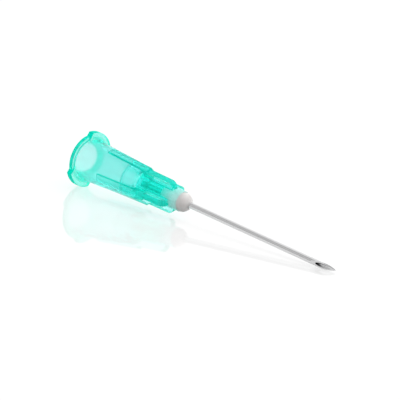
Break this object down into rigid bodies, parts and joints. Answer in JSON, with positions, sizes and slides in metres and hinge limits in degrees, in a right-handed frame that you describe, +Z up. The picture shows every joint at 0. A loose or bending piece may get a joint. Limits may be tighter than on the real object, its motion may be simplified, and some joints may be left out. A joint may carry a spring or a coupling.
{
  "type": "hypodermic needle",
  "caption": "Hypodermic needle: a moulded lock hub with two lugs and four ribs, a ground steel cannula and the adhesive bead that holds it, lying on its lug and point.",
  "frame": {"origin": "middle of the bounding box on the table it lies on", "axes": "+X points from the hub towards the point and the axis falls to the table by about five degrees, +Z is up"},
  "size_m": [0.0444, 0.0068, 0.0078],
  "materials": {
    "hub_plastic": "clear tinted moulded polypropylene, glossy",
    "cannula_steel": "drawn and polished stainless steel tube",
    "adhesive_resin": "cured milky resin"
  },
  "bodies": {
    "root": {"hub": "hub_plastic", "cannula": "cannula_steel", "adhesive": "adhesive_resin"}
  },
  "joints": []
}
